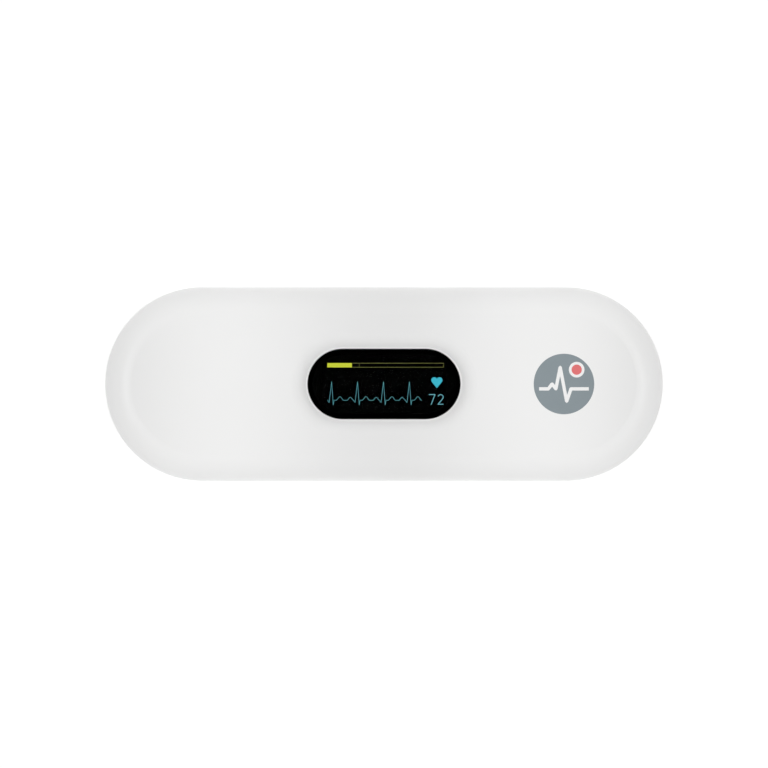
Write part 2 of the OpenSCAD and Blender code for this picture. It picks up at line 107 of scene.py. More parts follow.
def linear(code):
    """Linear RGBA from an sRGB hex code such as #ECECEA."""
    parts = [int(code[i:i + 2], 16) / 255 for i in (1, 3, 5)]
    return [p / 12.92 if p <= 0.04045 else ((p + 0.055) / 1.055) ** 2.4 for p in parts] + [1]


def add(tree, kind, inputs, **settings):
    """Adds a shader node with its settings, and sets or links its inputs by name or number."""
    made = tree.nodes.new("ShaderNode" + kind)
    for name, value in settings.items():
        setattr(made, name, value)
    for name, value in inputs.items():
        # A mix node has an A and a B for each kind of data, and only one pair is enabled
        usable = [s for i, s in enumerate(made.inputs) if s.enabled and name in (i, s.name)]
        if isinstance(value, bpy.types.NodeSocket):
            tree.links.new(value, usable[0])
        else:
            usable[0].default_value = value
    return made


print("white plastic, linear:", [round(c, 3) for c in linear("#ECECEA")[:3]])

# %% [markdown]
# ## The room
# The photograph is lit like a catalogue picture: white all round, so that every side of
# the white casing gets light, with two large soft lamps overhead, one to the left and
# one to the right. The lamps leave the middle a little darker than the two halves.
# A white room would put a grey veil on the black window, so the studio leaves a dark
# opening straight above, where the photographer's camera looks through. The world
# shader draws it from the direction alone: dark for what is within a few degrees of
# straight up. Under the table the room is dimmer, and that gradient is what the steel on
# the underside reflects. The background is white because camera rays see a strength of
# 1, and reflections and clear parts see the same white. The light itself stays plain.

# %% World
sky_level = 0.83
opening_deg = 9
opening_soft_deg = 7
under_table_level = 0.6

world = bpy.data.worlds.new("white_studio")
world.use_nodes = True
scene.world = world
tree = world.node_tree
tree.nodes.clear()
ray = add(tree, "LightPath", {})
direction = add(tree, "TexCoord", {})
height = add(tree, "SeparateXYZ", {"Vector": direction.outputs["Generated"]})
opening = add(tree, "MapRange", {
    "Value": height.outputs["Z"],
    "From Min": math.cos(math.radians(opening_deg + opening_soft_deg)),
    "From Max": math.cos(math.radians(opening_deg)),
    "To Min": 1, "To Max": 0,
}, interpolation_type="SMOOTHSTEP")
below = add(tree, "MapRange", {
    "Value": height.outputs["Z"], "From Min": -1, "From Max": 0,
    "To Min": under_table_level, "To Max": 1,
})
room = add(tree, "Math", {0: opening.outputs[0], 1: below.outputs[0]}, operation="MULTIPLY")
mirrored = add(tree, "Math", {
    0: ray.outputs["Is Glossy Ray"], 1: ray.outputs["Is Transmission Ray"],
}, operation="MAXIMUM")
light = add(tree, "Mix", {
    "Factor": mirrored.outputs[0], "A": sky_level, "B": 1.0,
}, data_type="FLOAT")
shaded = add(tree, "Math", {0: light.outputs[0], 1: room.outputs[0]}, operation="MULTIPLY")
strength = add(tree, "Mix", {
    "Factor": ray.outputs["Is Camera Ray"], "A": shaded.outputs[0], "B": 1.0,
}, data_type="FLOAT")
background = add(tree, "Background", {
    "Color": linear("#FFFFFF"), "Strength": strength.outputs[0],
})
add(tree, "OutputWorld", {"Surface": background.outputs[0]})
print("world light", sky_level, "with an opening of", opening_deg, "degrees overhead")

# %% [markdown]
# ## The lamps
# Each lamp is a strip softbox, long from front to back, with a grid over it. The grid
# narrows its beam, so each lamp makes a soft pool of light on its own half of the
# casing and leaves the middle darker. An area lamp's spread is that grid. The lamps
# are hidden from camera rays, but the window and the steel still show them as soft
# reflections.

# %% Lamps
lamp_x = 190 * MM
lamp_z = 310 * MM
lamp_width = 30 * MM
lamp_length = 240 * MM
lamp_aim_x = 28 * MM
lamp_spread_deg = 10.4
lamp_watts = 0.0090

for side, name in ((-1, "lamp_left"), (1, "lamp_right")):
    lamp = bpy.data.lights.new(name, "AREA")
    lamp.shape = "RECTANGLE"
    # The lamp's own Y points up after it is aimed, so its size along X runs along the table
    lamp.size = lamp_length
    lamp.size_y = lamp_width
    lamp.energy = lamp_watts
    lamp.spread = math.radians(lamp_spread_deg)
    lamp_object = bpy.data.objects.new(name, lamp)
    lamp_object.location = (side * lamp_x, 0, lamp_z)
    aim = Vector((side * lamp_aim_x, 0, casing_high.z)) - lamp_object.location
    lamp_object.rotation_euler = aim.to_track_quat("-Z", "Y").to_euler()
    lamp_object.visible_camera = False
    scene.collection.objects.link(lamp_object)
    print(name, "at", [round(c / MM) for c in lamp_object.location], "mm")

# %% [markdown]
# ## The floor
# The device lies on a white table that runs out to the horizon. A round sheet of mesh is
# enough. Its material is matt white paint, and for camera, mirror and clear rays a
# little light of its own is added, which lifts the lit table to pure white while the
# shadow round the casing stays darker. The table is seen from above only: its rear side
# is clear, so a camera under it sees the device's underside. Straight under the device
# a clear patch lets light up to that underside, as on a photographer's light table.

# %% Floor
floor_radius = 3.0
floor_sides = 96
floor_z = -0.05 * MM
floor_lift = 0.34
patch_inset = 1.2 * MM

floor_mesh = bpy.data.meshes.new("floor")
turns = [2 * math.pi * i / floor_sides for i in range(floor_sides)]
floor_mesh.from_pydata(
    [(floor_radius * math.cos(a), floor_radius * math.sin(a), floor_z) for a in turns],
    [], [range(floor_sides)])
floor = bpy.data.objects.new("floor", floor_mesh)
scene.collection.objects.link(floor)

painted = bpy.data.materials.new("matt_white_table")
painted.use_nodes = True
tree = painted.node_tree
tree.nodes.clear()
ray = add(tree, "LightPath", {})
seen = add(tree, "Math", {
    0: ray.outputs["Is Glossy Ray"], 1: ray.outputs["Is Transmission Ray"],
}, operation="MAXIMUM")
seen = add(tree, "Math", {
    0: ray.outputs["Is Camera Ray"], 1: seen.outputs[0],
}, operation="MAXIMUM")
lift = add(tree, "Math", {0: seen.outputs[0], 1: floor_lift}, operation="MULTIPLY")
paint = add(tree, "BsdfDiffuse", {"Color": linear("#F2F2F2")})
glow = add(tree, "Emission", {"Color": linear("#FFFFFF"), "Strength": lift.outputs[0]})
both = add(tree, "AddShader", {0: paint.outputs[0], 1: glow.outputs[0]})
# How far a point lies from the casing's middle line, against the patch's radius
casing_r = (casing_high.y - casing_low.y) / 2
place = add(tree, "SeparateXYZ", {"Vector": add(tree, "TexCoord", {}).outputs["Object"]})
along = add(tree, "Math", {0: place.outputs["X"]}, operation="ABSOLUTE")
past_end = add(tree, "Math", {
    0: along.outputs[0], 1: casing_high.x - casing_r,
}, operation="SUBTRACT")
past_end = add(tree, "Math", {0: past_end.outputs[0], 1: 0.0}, operation="MAXIMUM")
from_line = add(tree, "CombineXYZ", {"X": past_end.outputs[0], "Y": place.outputs["Y"]})
from_line = add(tree, "VectorMath", {0: from_line.outputs[0]}, operation="LENGTH")
patch = add(tree, "Math", {
    0: from_line.outputs["Value"], 1: casing_r - patch_inset,
}, operation="LESS_THAN")
unseen = add(tree, "Math", {0: 1.0, 1: ray.outputs["Is Camera Ray"]}, operation="SUBTRACT")
patch = add(tree, "Math", {0: patch.outputs[0], 1: unseen.outputs[0]}, operation="MULTIPLY")
rear_side = add(tree, "NewGeometry", {}).outputs["Backfacing"]
passed = add(tree, "Math", {0: patch.outputs[0], 1: rear_side}, operation="MAXIMUM")
clear = add(tree, "BsdfTransparent", {})
table = add(tree, "MixShader", {0: passed.outputs[0], 1: both.outputs[0], 2: clear.outputs[0]})
add(tree, "OutputMaterial", {"Surface": table.outputs[0]})
floor_mesh.materials.append(painted)
print("floor", 2 * floor_radius, "m across")

# %% [markdown]
# ## What all surfaces share
# No real surface is one flat colour. Moulded, brushed and fired surfaces all have a
# grain that tilts the light a little, a colour that drifts from place to place, and a
# gloss that drifts with it. One function builds these three from noise, and each
# finish below calls it with its own real sizes: how wide the grain is, how deep it is,
# and over what distance the colour drifts. A direction can be stretched, which turns
# grain into brush marks. Noise is a good choice because it needs no image, fits any
# shape and can be set in millimetres. Three more helpers serve the finishes that need
# a pattern of their own: one finds a material's shader, one blends in a second tone,
# and one draws a wave.

# %% Functions for grained surfaces
def surface(name, tone, drift_tone, drift_mm, roughness, rough_drift, grain_mm, grain_um,
            stretch=(1, 1, 1), **shader_inputs):
    """A Principled material whose tone, gloss and relief vary by noise of real size.

    tone and drift_tone are sRGB hex codes, drift_mm is how far the tone takes to drift,
    rough_drift is how much the roughness varies, grain_mm and grain_um are the grain's
    width and depth, and stretch makes the grain longer along an axis.
    """
    made = bpy.data.materials.new(name)
    made.use_nodes = True
    tree = made.node_tree
    tree.nodes.clear()
    place = add(tree, "TexCoord", {}).outputs["Object"]
    drawn = add(tree, "Mapping", {"Vector": place, "Scale": [1 / s for s in stretch]})
    drift = add(tree, "TexNoise", {
        "Vector": drawn.outputs[0], "Scale": 1 / (drift_mm * MM), "Detail": 3.0,
    })
    grain = add(tree, "TexNoise", {
        "Vector": drawn.outputs[0], "Scale": 1 / (grain_mm * MM), "Detail": 2.0,
    })
    colour = add(tree, "Mix", {
        "Factor": drift.outputs["Fac"], "A": linear(tone), "B": linear(drift_tone),
    }, data_type="RGBA")
    gloss = add(tree, "MapRange", {
        "Value": grain.outputs["Fac"],
        "To Min": roughness - rough_drift, "To Max": roughness + rough_drift,
    })
    relief = add(tree, "Bump", {
        "Height": grain.outputs["Fac"], "Distance": grain_um * MM * MM,
    })
    shader = add(tree, "BsdfPrincipled", {
        "Base Color": colour.outputs[MIXED_COLOUR], "Roughness": gloss.outputs[0],
        "Normal": relief.outputs[0], **shader_inputs,
    })
    add(tree, "OutputMaterial", {"Surface": shader.outputs[0]})
    return made


def inside(material):
    """A surface's node tree, its shader and the coordinates that its patterns use."""
    tree = material.node_tree
    shader = next(n for n in tree.nodes if n.type == "BSDF_PRINCIPLED")
    place = next(n for n in tree.nodes if n.type == "TEX_COORD").outputs["Object"]
    return tree, shader, place


def blend_tone(material, share, tone):
    """Gives a surface a second tone, an sRGB hex code, by as much as share says."""
    tree, shader, _ = inside(material)
    plain = shader.inputs["Base Color"].links[0].from_socket
    blended = add(tree, "Mix", {
        "Factor": share, "A": plain, "B": linear(tone),
    }, data_type="RGBA")
    tree.links.new(blended.outputs[MIXED_COLOUR], shader.inputs["Base Color"])


def wave(tree, place, pitch_mm, axis):
    """A wave between 0 and 1 that runs along an axis and repeats every pitch_mm."""
    return add(tree, "TexWave", {
        "Vector": place, "Scale": WAVE_LENGTH_AT_1 / (pitch_mm * MM),
    }, bands_direction=axis).outputs["Fac"]


def dress(material, *nodes):
    """Gives these solids the material, in place of the plain one they were loaded with."""
    for name in nodes:
        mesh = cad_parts[name].data
        mesh.materials.clear()
        mesh.materials.append(material)
    print(material.name, "on", ", ".join(nodes))


# %% [markdown]
# ## White ABS, moulded
# The casing is injection-moulded ABS. The mould's cavity was spark-eroded to a fine
# satin, so the plastic shows no sharp reflection: a soft gloss on a clean white. The
# grain's tips also scatter light at grazing angles, which gives the casing the thin
# bright rim that the photograph shows, and the shader's sheen layer does just that. The
# real grain is about 0.05 mm wide, a quarter of a pixel, so it is drawn 0.3 mm wide,
# which is the finest that can still break up the gloss.
# The rear cover comes out of a coarser cavity, which hides scratches from a table, and
# its white is a trace greyer. ABS has an index of refraction of about 1.54.

# %% Casing finishes
abs_ior = 1.54
satin_rim = {"Sheen Weight": 0.6, "Sheen Roughness": 0.45}
moulded_white_abs = surface(
    "moulded_white_abs", "#EAEAEA", "#E8E8E7", drift_mm=14,
    roughness=0.42, rough_drift=0.03, grain_mm=0.3, grain_um=1.5, IOR=abs_ior, **satin_rim)
dress(moulded_white_abs, "top_casing")

textured_white_abs = surface(
    "textured_white_abs", "#E8E8E7", "#E5E5E3", drift_mm=14,
    roughness=0.50, rough_drift=0.04, grain_mm=0.4, grain_um=6, IOR=abs_ior, **satin_rim)
dress(textured_white_abs, "rear_cover")

# %% [markdown]
# ## The key's ABS
# The key is moulded from the same ABS in a polished cavity, so that a finger slides over
# it. It looks a touch glossier than the casing round it, and that is how it is found.

# %% Key finish
polished_white_abs = surface(
    "polished_white_abs", "#E8E8E7", "#E6E6E4", drift_mm=5,
    roughness=0.26, rough_drift=0.02, grain_mm=0.4, grain_um=0.8, IOR=abs_ior)
dress(polished_white_abs, "power_key")

# %% [markdown]
# ## The window's acrylic
# The window is cut from smoked acrylic with a hard coat. It is clear enough to read the
# display through it, and dark enough to hide what lies round the display. Acrylic has
# an index of refraction of 1.49. A clear solid is made with the shader's transmission:
# the tone is what passes through, and a low roughness gives the hard coat's clean
# reflections. Only a coating that thin leaves a faint waviness.

# %% Window finish
smoked_tone = "#B4B6B8"
smoked_acrylic = surface(
    "smoked_acrylic", smoked_tone, "#B0B2B5", drift_mm=20,
    roughness=0.03, rough_drift=0.01, grain_mm=2.5, grain_um=0.3,
    IOR=1.49, **{"Transmission Weight": 1.0})
dress(smoked_acrylic, "display_window")

# %% [markdown]
# ## Steel
# Steel shows its surroundings more than a colour of its own, so what tells its finishes
# apart is how the reflection is broken up. The finger electrodes are punched from
# stainless sheet that was brushed along its length: fine lines along X, a reflection
# smeared across them, and a slightly warm grey. Real brush marks are about 0.05 mm
# apart and are drawn 0.18 mm apart, so that they show, and as much deeper, which keeps
# the slope of their sides. The screws have a zinc plating with a cool, slightly blotched
# gloss. Deep in the driver's cross the tone is painted dark where the shader's occlusion
# finds a point shut in by the metal round it: that darkness is painted shade.
# The socket's shell is drawn steel with a smooth nickel plating, and the washers are
# plain stamped steel with a matt surface.

# %% Steel finishes
brushed_stainless = surface(
    "brushed_stainless", "#DEDCD6", "#9C9A95", drift_mm=0.7,
    roughness=0.26, rough_drift=0.10, grain_mm=0.18, grain_um=9,
    stretch=(60, 1, 1), Metallic=1.0)
dress(brushed_stainless, "left_electrode", "right_electrode")

recess_mm = 0.8
# How open a point is to its surroundings: deep in a recess, and on a free face
shut_in, in_the_open = 0.45, 0.90

zinc_plated_steel = surface(
    "zinc_plated_steel", "#C4C7CC", "#ABAEB6", drift_mm=1.0,
    roughness=0.30, rough_drift=0.08, grain_mm=0.35, grain_um=2, Metallic=1.0)
tree, _, _ = inside(zinc_plated_steel)
openness = add(tree, "AmbientOcclusion", {"Distance": recess_mm * MM}, samples=8)
# Painted shade: where the occlusion finds a point shut in, the tone is mixed towards dark grey
painted_recess_shade = add(tree, "MapRange", {
    "Value": openness.outputs["AO"],
    "From Min": shut_in, "From Max": in_the_open, "To Min": 1, "To Max": 0,
})
blend_tone(zinc_plated_steel, painted_recess_shade.outputs[0], "#3C3D42")
dress(zinc_plated_steel, "case_screws", "board_screws")

nickel_plated_steel = surface(
    "nickel_plated_steel", "#C6C4BE", "#BAB8B1", drift_mm=3,
    roughness=0.22, rough_drift=0.05, grain_mm=0.25, grain_um=1, stretch=(1, 6, 1),
    Metallic=1.0)
dress(nickel_plated_steel, "charging_socket")

stamped_steel = surface(
    "stamped_steel", "#9FA1A4", "#8C8E92", drift_mm=1,
    roughness=0.42, rough_drift=0.08, grain_mm=0.2, grain_um=2.5, Metallic=1.0)
dress(stamped_steel, "stud_washers")

# %% [markdown]
# ## Gold and tin
# Contact springs and the socket's strips are copper alloy with a flash of gold, which
# keeps its deep yellow because it doesn't tarnish. The crystal's can is tinned: a soft
# pale grey with a frosted, slightly crystalline gloss.

# %% Gold and tin finishes
gold_flashed_copper = surface(
    "gold_flashed_copper", "#E3BC6C", "#D8AE5C", drift_mm=1.2,
    roughness=0.24, rough_drift=0.05, grain_mm=0.15, grain_um=0.8, stretch=(1, 5, 1),
    Metallic=1.0)
dress(gold_flashed_copper, "socket_contacts", "left_contact", "right_contact")

tinned_can = surface(
    "tinned_can", "#C4C6C8", "#B4B7BA", drift_mm=0.6,
    roughness=0.36, rough_drift=0.08, grain_mm=0.25, grain_um=2, Metallic=1.0)
dress(tinned_can, "crystal")

# %% [markdown]
# ## Black and cream plastics
# The parts that are soldered in an oven are moulded from liquid-crystal polymer, which
# stands the heat. Its glass fibres leave a dull surface with faint flow streaks. It
# comes in black for the socket's tongue and the switch, and in cream for connectors.
# The chips are black epoxy with ground quartz in it, which is matt and very even.

# %% Plastic finishes of the electrical parts
lcp_ior = 1.6
moulded_black_lcp = surface(
    "moulded_black_lcp", "#1C1C1E", "#262628", drift_mm=1.5,
    roughness=0.46, rough_drift=0.06, grain_mm=0.12, grain_um=2, stretch=(3, 1, 1),
    IOR=lcp_ior)
dress(moulded_black_lcp, "socket_tongue", "switch_body")

moulded_cream_lcp = surface(
    "moulded_cream_lcp", "#E6DFCE", "#DCD3BE", drift_mm=1.5,
    roughness=0.48, rough_drift=0.05, grain_mm=0.12, grain_um=2, stretch=(3, 1, 1),
    IOR=lcp_ior)
dress(moulded_cream_lcp, "display_connector", "battery_connector", "switch_plunger")

filled_black_epoxy = surface(
    "filled_black_epoxy", "#1A1A1C", "#212124", drift_mm=0.5,
    roughness=0.55, rough_drift=0.05, grain_mm=0.08, grain_um=3, IOR=1.55)
dress(filled_black_epoxy, "processor", "signal_amplifier", "memory_chip", "charger_chip",
      "display_driver")

# %% [markdown]
# ## Ceramics and glass
# The radio antenna is a bar of white fired ceramic, and the chip capacitors are a tan
# one. Fired surfaces are fine-grained and half matt. The display's two sheets are
# thin glass, greenish at the cut edges, which are ground and catch the light.

# %% Ceramic and glass finishes
fired_white_ceramic = surface(
    "fired_white_ceramic", "#DCE0E2", "#CFD4D7", drift_mm=0.8,
    roughness=0.38, rough_drift=0.06, grain_mm=0.1, grain_um=2, IOR=1.65)
dress(fired_white_ceramic, "radio_antenna")

fired_tan_ceramic = surface(
    "fired_tan_ceramic", "#B59B6A", "#9E8458", drift_mm=0.6,
    roughness=0.42, rough_drift=0.06, grain_mm=0.08, grain_um=2, IOR=1.65)
dress(fired_tan_ceramic, "small_parts")

cut_display_glass = surface(
    "cut_display_glass", "#39443F", "#2C3633", drift_mm=6,
    roughness=0.12, rough_drift=0.05, grain_mm=0.4, grain_um=0.5, IOR=1.52)
dress(cut_display_glass, "display_panel")

# %% [markdown]
# ## Films, tape and foam
# A polariser lies on the glass. It is a near-black film with an antiglare coat, and it
# is what makes an unlit display look black. The window is held by a ring of black foam
# tape, and a black foam pad keeps the display off the board. Open foam swallows light,
# so it is drawn dark, rough and deep-grained. The cell sits on tan double-sided tape.

# %% Film, tape and foam finishes
antiglare_polariser = surface(
    "antiglare_polariser", "#050607", "#070809", drift_mm=10,
    roughness=0.20, rough_drift=0.03, grain_mm=0.2, grain_um=0.4, IOR=1.49)
dress(antiglare_polariser, "display_polariser")

black_foam_tape = surface(
    "black_foam_tape", "#141414", "#1C1C1C", drift_mm=1,
    roughness=0.80, rough_drift=0.08, grain_mm=0.15, grain_um=12, IOR=1.45)
dress(black_foam_tape, "window_tape")

open_black_foam = surface(
    "open_black_foam", "#1D1D1E", "#2A2A2B", drift_mm=0.6,
    roughness=0.90, rough_drift=0.08, grain_mm=0.3, grain_um=60, IOR=1.45)
dress(open_black_foam, "display_pad")

tan_double_tape = surface(
    "tan_double_tape", "#D9CDA6", "#CDBF94", drift_mm=3,
    roughness=0.55, rough_drift=0.06, grain_mm=0.4, grain_um=6, IOR=1.47)
dress(tan_double_tape, "battery_tape")

# %% [markdown]
# ## The cell and its leads
# A lithium cell of this kind is a pouch of aluminium foil laminated with nylon. The foil
# is a soft metal with shallow wrinkles a few millimetres apart, and the nylon over it
# gives a milky gloss, so it is drawn as a half-rough metal. Its leads wear extruded
# silicone, red and black, which is smooth and slightly waxy.

# %% Cell and lead finishes
laminated_foil = surface(
    "laminated_foil", "#C3C6CA", "#B3B6BB", drift_mm=5,
    roughness=0.34, rough_drift=0.07, grain_mm=2.2, grain_um=30, Metallic=1.0,
    **{"Coat Weight": 0.4, "Coat Roughness": 0.25})
dress(laminated_foil, "battery_cell")

silicone_ior = 1.41
red_silicone = surface(
    "red_silicone", "#B8302B", "#A52824", drift_mm=1,
    roughness=0.45, rough_drift=0.05, grain_mm=0.2, grain_um=1.5, stretch=(8, 1, 1),
    IOR=silicone_ior)
dress(red_silicone, "battery_lead_red")

black_silicone = surface(
    "black_silicone", "#1E1E20", "#272729", drift_mm=1,
    roughness=0.45, rough_drift=0.05, grain_mm=0.2, grain_um=1.5, stretch=(8, 1, 1),
    IOR=silicone_ior)
dress(black_silicone, "battery_lead_black")

# %% [markdown]
# ## The circuit board
# The board is woven glass in epoxy, covered with a green solder mask. Copper tracks
# under the mask show as paler, slightly raised lines. Tracks run in straight pieces
# from pad to pad, as the edges between the cells of a Voronoi pattern run from corner
# to corner, so those edges become the tracks. The weave is a crossing of two waves,
# one thread every 0.5 mm.

# %% Board finish
track_pitch_mm = 2.2
# Half a track, with its soft edge and without, as a share of the cells' size
track_share = 0.10
track_core = 0.06
track_um = 35
thread_mm = 0.5
thread_um = 4

solder_masked_board = surface(
    "solder_masked_board", "#1C5A39", "#174E31", drift_mm=6,
    roughness=0.28, rough_drift=0.04, grain_mm=0.3, grain_um=1, IOR=1.5,
    **{"Coat Weight": 0.3, "Coat Roughness": 0.12})
tree, shader, place = inside(solder_masked_board)
fine = shader.inputs["Normal"].links[0].from_socket
cells = add(tree, "TexVoronoi", {
    "Vector": place, "Scale": 1 / (track_pitch_mm * MM),
}, feature="DISTANCE_TO_EDGE")
tracks = add(tree, "MapRange", {
    "Value": cells.outputs["Distance"],
    "From Min": track_core, "From Max": track_share, "To Min": 1, "To Max": 0,
}, interpolation_type="SMOOTHSTEP")
blend_tone(solder_masked_board, tracks.outputs[0], "#2F7F52")
weave = add(tree, "Math", {
    0: wave(tree, place, thread_mm, "X"), 1: wave(tree, place, thread_mm, "Y"),
}, operation="MAXIMUM")
woven = add(tree, "Bump", {
    "Height": weave.outputs[0], "Distance": thread_um * MM * MM, "Normal": fine,
})
raised = add(tree, "Bump", {
    "Height": tracks.outputs[0], "Distance": track_um * MM * MM, "Normal": woven.outputs[0],
})
tree.links.new(raised.outputs[0], shader.inputs["Normal"])
dress(solder_masked_board, "circuit_board")

# %% [markdown]
# ## The flex
# The display's flex is amber polyimide film with copper conductors in it, all running
# along Y. A wave pattern across X draws them every 0.7 mm, which is their real pitch.

# %% Flex finish
conductor_mm = 0.7
# The wave's heights between which a conductor's edge lies
conductor_from, conductor_to = 0.45, 0.60

amber_polyimide = surface(
    "amber_polyimide", "#B5651D", "#A85A18", drift_mm=4,
    roughness=0.24, rough_drift=0.05, grain_mm=0.4, grain_um=1, IOR=1.7)
tree, _, place = inside(amber_polyimide)
conductors = add(tree, "MapRange", {
    "Value": wave(tree, place, conductor_mm, "X"),
    "From Min": conductor_from, "From Max": conductor_to,
})
blend_tone(amber_polyimide, conductors.outputs[0], "#D08A3C")
dress(amber_polyimide, "display_flex")

# %% [markdown]
# ## Flat shapes with a little thickness
# Ink, printed film and the lit shapes of a display are flat, but each has two sides
# and an edge. The plate function takes closed outlines in millimetres: the first is
# the outer edge, and the others are holes. It fills them with triangles, makes a
# second copy one thickness higher and joins the two along every outline, so the piece
# is a closed solid. Across and up say which way the flat shape faces.

# %% Plate function
def plate(name, outlines, at, thickness, material, body, slot,
          across=(1, 0, 0), up=(0, 1, 0)):
    """A closed thin solid from flat outlines in mm, with its lower face at the point at."""
    across, up = Vector(across), Vector(up)
    lift = across.cross(up) * thickness
    flat = [Vector(at) + MM * (u * across + v * up) for outline in outlines for u, v in outline]
    filled = tessellate_polygon([[Vector((u, v, 0)) for u, v in o] for o in outlines])
    count = len(flat)
    faces = []
    for a, b, c in filled:
        corner = flat[a]
        if (flat[b] - corner).cross(flat[c] - corner).dot(lift) < 0:
            b, c = c, b
        faces += [(a, c, b), (count + a, count + b, count + c)]
    start = 0
    for outline in outlines:
        turn = sum(u0 * v1 - u1 * v0 for (u0, v0), (u1, v1)
                   in zip(outline, outline[1:] + outline[:1]))
        outer = (turn > 0) == (outline is outlines[0])
        for i in range(len(outline)):
            a, b = start + i, start + (i + 1) % len(outline)
            a, b = (a, b) if outer else (b, a)
            faces.append((a, b, count + b, count + a))
        start += len(outline)
    mesh = bpy.data.meshes.new(name)
    mesh.from_pydata(flat + [p + lift for p in flat], [], faces)
    mesh.materials.append(material)
    piece = bpy.data.objects.new(name, mesh)
    scene.collection.objects.link(piece)
    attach(piece, body)
    print(name, len(mesh.polygons), "faces")
    return piece


def arc(x, y, radius, start_deg, end_deg, steps=24):
    """Points along a circle, from one angle to another."""
    turn = (end_deg - start_deg) / steps
    angles = [math.radians(start_deg + i * turn) for i in range(steps + 1)]
    return [(x + radius * math.cos(a), y + radius * math.sin(a)) for a in angles]


def pill(run, radius):
    """A pill outline, its straight part run long."""
    return arc(run / 2, 0, radius, -90, 90) + arc(-run / 2, 0, radius, 90, 270)


def moved(outline, x, y):
    """The outline, shifted."""
    return [(u + x, v + y) for u, v in outline]


# %% [markdown]
# ## The mask behind the window
# On the real window, black ink is screen-printed on the rear face, all but a clear
# opening in front of the display. The ink hides the ledge, the tape and the glass's
# edges, so the opening follows the ledge's round ends and is cut square where the
# display ends. The mask is a plate of its own, a hundredth of a millimetre thick, so
# that from the side one sees it lie behind the acrylic, as in the real window. Ink that
# is printed on the acrylic has no air over it and so no gloss of its own: its index is
# set near 1.

# %% Window mask
mask_edge = 0.06
mask_clear_r = 5.4
mask_clear_x = 11.5
ink_thickness = 0.01 * MM

screen_printed_black = surface(
    "screen_printed_black", "#121212", "#151515", drift_mm=3,
    roughness=0.35, rough_drift=0.05, grain_mm=0.25, grain_um=0.5, IOR=1.02)
window_r = (window_high.y - window_low.y) / 2 / MM
window_run = (window_high.x - window_low.x) / MM - 2 * window_r
cut_deg = math.degrees(math.acos((mask_clear_x - window_run / 2) / mask_clear_r))
clear_right = arc(window_run / 2, 0, mask_clear_r, -90, -cut_deg) + arc(
    window_run / 2, 0, mask_clear_r, cut_deg, 90)
plate("window_mask", [
    pill(window_run, window_r - mask_edge), clear_right + [(-x, -y) for x, y in clear_right],
], (0, 0, window_low.z - 1.2 * ink_thickness), ink_thickness,
    screen_printed_black, "casing", "black_window")

# %% [markdown]
# ## Lit pixels
# The display is of the kind whose pixels make their own light: the upper quarter of
# them yellow, the rest sky blue. The lit shapes are thin plates that glow. Each pixel is
# 0.17 mm wide with a dark gap round it, a little finer than the picture's own pixels,
# and two waves draw those gaps. The smoked window takes part of the light, so the glow
# is that much stronger than the colour that comes out.

# %% Lit pixel materials
pixel_mm = 0.17
pixel_gap_light = 0.72
# The waves' heights between which a pixel's edge lies
gap_from, gap_to = 0.05, 0.35
window_share = linear(smoked_tone)[0]


def lit_pixels(name, tone, level):
    """A glowing material, with the dark gaps between the display's pixels."""
    made = bpy.data.materials.new(name)
    made.use_nodes = True
    tree = made.node_tree
    tree.nodes.clear()
    place = add(tree, "TexCoord", {}).outputs["Object"]
    both = add(tree, "Math", {
        0: wave(tree, place, pixel_mm, "X"), 1: wave(tree, place, pixel_mm, "Y"),
    }, operation="MINIMUM")
    share = add(tree, "MapRange", {
        "Value": both.outputs[0], "From Min": gap_from, "From Max": gap_to,
        "To Min": pixel_gap_light, "To Max": 1.0,
    })
    glow = add(tree, "Mix", {
        "Factor": share.outputs[0], "A": linear("#000000"), "B": linear(tone),
    }, data_type="RGBA")
    shader = add(tree, "BsdfPrincipled", {
        "Base Color": linear("#0A0B0C"), "Roughness": 0.4,
        "Emission Color": glow.outputs[MIXED_COLOUR],
        "Emission Strength": level / window_share,
    })
    add(tree, "OutputMaterial", {"Surface": shader.outputs[0]})
    return made


yellow_pixels = lit_pixels("yellow_pixels", "#D9E040", 1.0)
dim_yellow_pixels = lit_pixels("dim_yellow_pixels", "#A4A55C", 0.85)
blue_pixels = lit_pixels("blue_pixels", "#44C4D8", 1.0)
thin_blue_pixels = lit_pixels("thin_blue_pixels", "#6DC2CC", 0.76)
pale_blue_pixels = lit_pixels("pale_blue_pixels", "#79C8D4", 0.95)
print("glow is divided by what the window passes:", round(window_share, 2))

# %% [markdown]
# ## Lines of even width
# The trace, the digits and the open line in the mark are drawn lines. The ribbon
# function turns a row of points into such a line's outline. At each corner the inner
# side takes the point where the two inner edges meet, and the outer side is rounded off
# with three points. Without the rounding, a sharp corner would run out into a long tip.

# %% Ribbon function
def ribbon(points, width):
    """The outline of a line of even width along these points, in mm."""
    half = width / 2
    left, right = [], []
    for i, (x, y) in enumerate(points):
        near = [points[j] for j in (i - 1, i, i + 1) if 0 <= j < len(points)]
        steps = [Vector(b) - Vector(a) for a, b in zip(near, near[1:])]
        normals = [Vector((-step.y, step.x)).normalized() for step in steps]
        middle = (normals[0] + normals[-1]).normalized()
        inner = half / middle.dot(normals[0])
        turns_left = steps[0].cross(steps[-1]) > 0
        for side, sign in ((left, 1), (right, -1)):
            rounded = inner > 1.1 * half and turns_left == (sign < 0)
            shifts = [normals[0], middle, normals[-1]] if rounded else [middle]
            reach = half if rounded else inner
            side += [(x + sign * reach * n.x, y + sign * reach * n.y) for n in shifts]
    return left + right[::-1]


# %% [markdown]
# ## The bar at the top of the picture
# A thin yellow frame with a filled part at its left, and one tick on its way: it shows
# how much of the recording is done.

# %% Progress bar
glow_z = film_high.z
glow_thickness = 0.02 * MM
bar_left, bar_right = -10.51, 11.05
bar_low, bar_high = 3.08, 3.88
bar_filled_to = -5.96
bar_tick_x = -4.62
bar_line = 0.05


